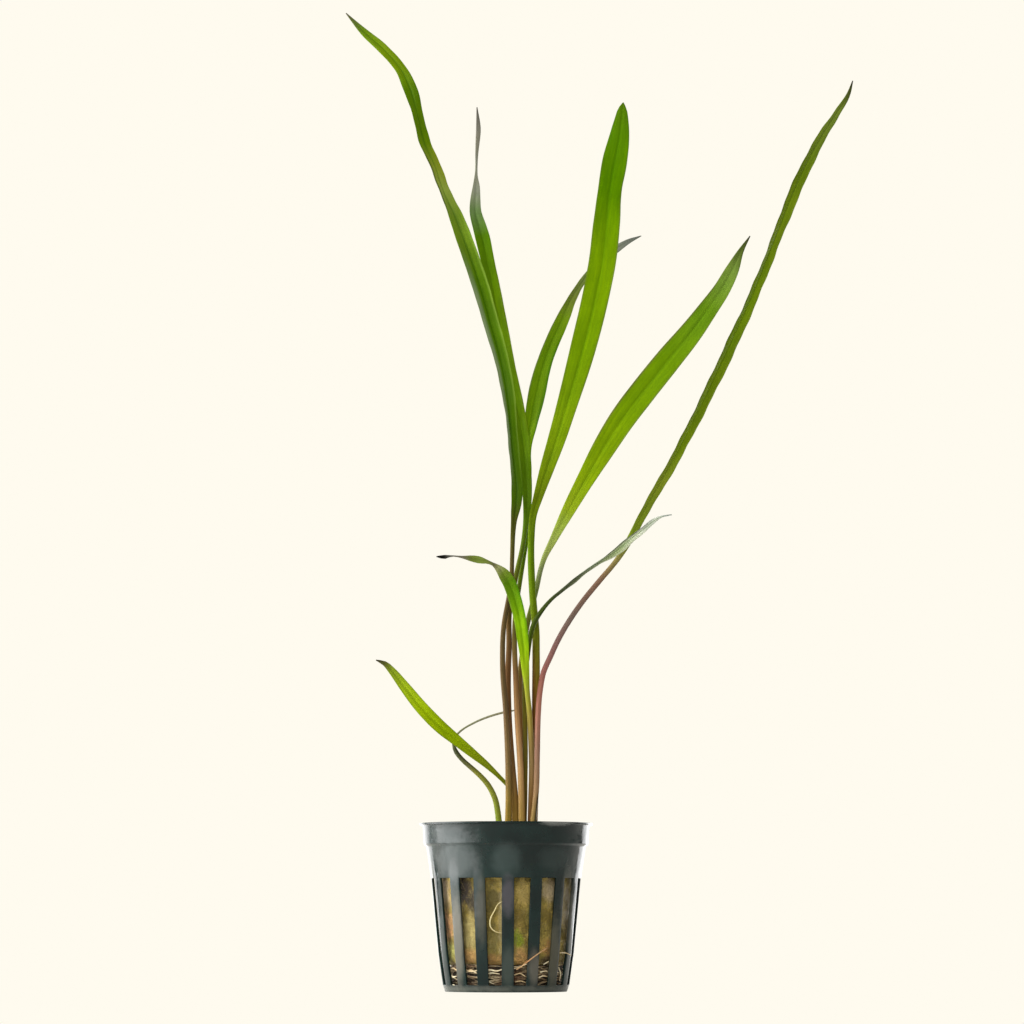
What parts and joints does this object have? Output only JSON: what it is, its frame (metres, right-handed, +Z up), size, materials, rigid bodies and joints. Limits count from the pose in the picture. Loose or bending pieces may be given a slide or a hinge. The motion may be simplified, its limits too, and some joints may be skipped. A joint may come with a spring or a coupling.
{
  "type": "potted cryptocoryne",
  "caption": "Young water plant with narrow strap leaves on thin stems, rooted in a wool plug in a slotted plastic net pot.",
  "frame": {"origin": "centre of the pot's flat underside", "axes": "+Z up, from the pot's underside to the leaf tips; -Y towards the side that the picture shows, so +X is its right"},
  "size_m": [0.1556, 0.0752, 0.2987],
  "materials": {
    "pot_plastic": "gloss",
    "mineral_wool": "matte",
    "root_tangle": "matte",
    "rhizome": "matte",
    "root_skin": "satin",
    "green_leaf": "satin",
    "dark_leaf": "satin",
    "grey_leaf": "satin",
    "olive_leaf": "satin"
  },
  "bodies": {
    "root": {"net_pot": "pot_plastic", "wool_plug": "mineral_wool", "root_mat": "root_tangle", "crown": "rhizome", "leaf_tall_left": "dark_leaf", "leaf_withered_tip": "green_leaf", "leaf_broad_upright": "green_leaf", "leaf_short_back": "green_leaf", "leaf_broad_right": "green_leaf", "leaf_far_right": "dark_leaf", "leaf_silvery_right": "grey_leaf", "leaf_bent_left": "green_leaf", "leaf_low_left": "green_leaf", "leaf_curled_thread": "olive_leaf", "root_loop": "root_skin", "root_over_rib": "root_skin"}
  },
  "joints": []
}
